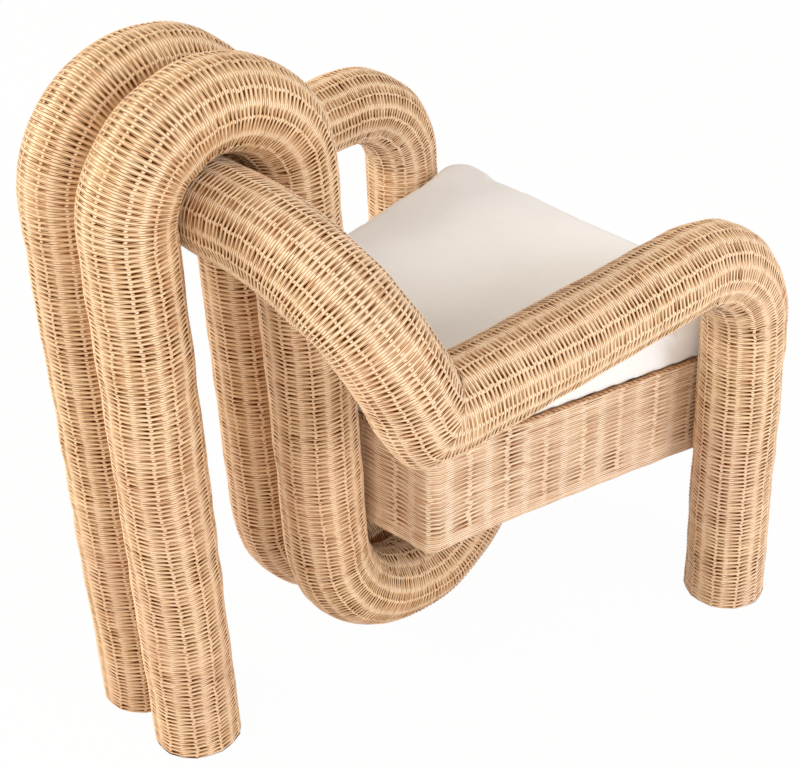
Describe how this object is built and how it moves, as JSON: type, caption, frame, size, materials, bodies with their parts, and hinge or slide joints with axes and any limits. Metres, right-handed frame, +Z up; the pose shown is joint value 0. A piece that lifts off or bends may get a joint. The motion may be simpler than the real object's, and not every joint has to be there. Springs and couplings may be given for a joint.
{
  "type": "rattan lounge armchair",
  "caption": "Sculptural lounge armchair of fat woven rattan tubes: back hoops hook under a woven seat box, an arm tube threads the hoops, loose cushion.",
  "frame": {"origin": "middle of the footprint's box on the floor", "axes": "+Z up, -Y the way the sitter faces, +X to the sitter's left; the chair is mirror symmetric about X = 0"},
  "size_m": [0.7074, 0.808, 0.833],
  "materials": {
    "woven_rattan": "natural woven rattan core",
    "rattan_binding": "natural peel binding",
    "rattan_pole": "peeled pole",
    "frame_wood": "sawn hardwood",
    "zinc_steel": "zinc plated",
    "nylon": "moulded",
    "cotton_canvas": "plain weave canvas"
  },
  "bodies": {
    "root": {"hoop_sleeve_left": "woven_rattan", "hoop_core_left": "rattan_pole", "hook_plug_left": "frame_wood", "hoop_former_left_1": "frame_wood", "hoop_former_left_2": "frame_wood", "hoop_former_left_3": "frame_wood", "front_left_foot_plug": "frame_wood", "front_left_foot_glide": "nylon", "corner_post_front_left": "frame_wood", "rear_left_foot_plug": "frame_wood", "rear_left_foot_glide": "nylon", "corner_post_rear_left": "frame_wood", "front_bolt_left": "zinc_steel", "rear_bolt_left": "zinc_steel", "hook_bolt_left": "zinc_steel", "seat_side_rail_left": "frame_wood", "hoop_sleeve_right": "woven_rattan", "hoop_core_right": "rattan_pole", "hook_plug_right": "frame_wood", "hoop_former_right_1": "frame_wood", "hoop_former_right_2": "frame_wood", "hoop_former_right_3": "frame_wood", "front_right_foot_plug": "frame_wood", "front_right_foot_glide": "nylon", "corner_post_front_right": "frame_wood", "rear_right_foot_plug": "frame_wood", "rear_right_foot_glide": "nylon", "corner_post_rear_right": "frame_wood", "front_bolt_right": "zinc_steel", "rear_bolt_right": "zinc_steel", "hook_bolt_right": "zinc_steel", "seat_side_rail_right": "frame_wood", "arm_sleeve": "woven_rattan", "arm_core": "rattan_pole", "arm_former_1": "frame_wood", "arm_former_2": "frame_wood", "arm_former_3": "frame_wood", "arm_former_4": "frame_wood", "arm_former_5": "frame_wood", "seat_apron": "woven_rattan", "apron_border": "rattan_binding", "apron_binding": "rattan_binding", "seat_front_rail": "frame_wood", "seat_rear_rail": "frame_wood", "hook_board": "frame_wood", "seat_slat_1": "frame_wood", "seat_slat_2": "frame_wood", "seat_slat_3": "frame_wood", "seat_slat_4": "frame_wood", "seat_slat_5": "frame_wood", "seat_slat_6": "frame_wood", "seat_cushion": "cotton_canvas"}
  },
  "joints": []
}
